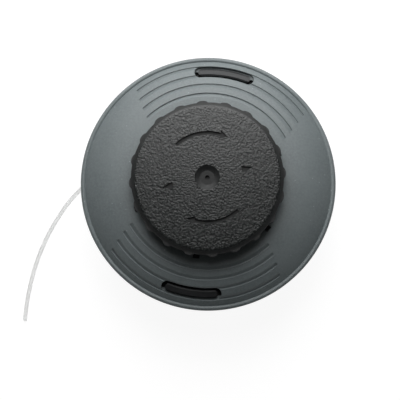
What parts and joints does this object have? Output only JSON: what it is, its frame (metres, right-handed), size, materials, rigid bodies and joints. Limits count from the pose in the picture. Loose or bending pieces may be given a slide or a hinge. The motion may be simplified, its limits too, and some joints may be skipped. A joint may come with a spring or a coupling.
{
  "type": "trimmer head",
  "caption": "Bump-feed trimmer head with a dished cover, ribbed bump knob, sprung line spool, latched housing, metal eyelets and a threaded arbor insert.",
  "frame": {"origin": "centre of the hub's back face, on the surface that the head lies on, at the bottom centre of its box without the free line end", "axes": "+Z along the arbor, out of the bump knob; the two latch windows lie on the Y axis and the two line eyelets on the X axis"},
  "size_m": [0.1519, 0.1476, 0.057],
  "materials": {
    "housing_plastic": "black glass-filled nylon, fine grain",
    "cover_plastic": "mid-grey glass-filled nylon, satin with fine flow marks",
    "knob_plastic": "black nylon, coarse spark-eroded grain on the face",
    "index_plastic": "black nylon, smooth",
    "spool_plastic": "dark grey nylon, smooth",
    "line_nylon": "milky nylon monofilament",
    "insert_steel": "turned, zinc plated",
    "washer_steel": "stamped, zinc plated",
    "spring_steel": "drawn spring wire",
    "screw_steel": "zinc plated",
    "eyelet_metal": "turned and polished"
  },
  "bodies": {
    "head_shell": {"housing": "housing_plastic", "arbor_insert": "insert_steel", "cover": "cover_plastic", "index_ring": "index_plastic", "eyelet_left": "eyelet_metal", "eyelet_right": "eyelet_metal", "spring_seat": "washer_steel", "spring": "spring_steel", "line_end": "line_nylon"},
    "bump_carriage": {"thrust_washer": "washer_steel"},
    "spool_and_knob": {"spool_lower": "spool_plastic", "spool_upper": "spool_plastic", "line_coil_lower": "line_nylon", "line_coil_upper": "line_nylon", "stack_screws": "screw_steel", "bump_knob": "knob_plastic"}
  },
  "joints": [
    {"name": "bump", "type": "slide", "parent": "head_shell", "child": "bump_carriage", "axis": [0, 0, -1], "range_m": [0, 0.005], "stiffness_N_per_m": 2000, "springref_m": -0.012, "deforming": ["spring"]},
    {"name": "winding", "type": "hinge", "parent": "bump_carriage", "child": "spool_and_knob", "pos_m": [0, 0, 0.03], "axis": [0, 0, -1], "continuous": true}
  ]
}
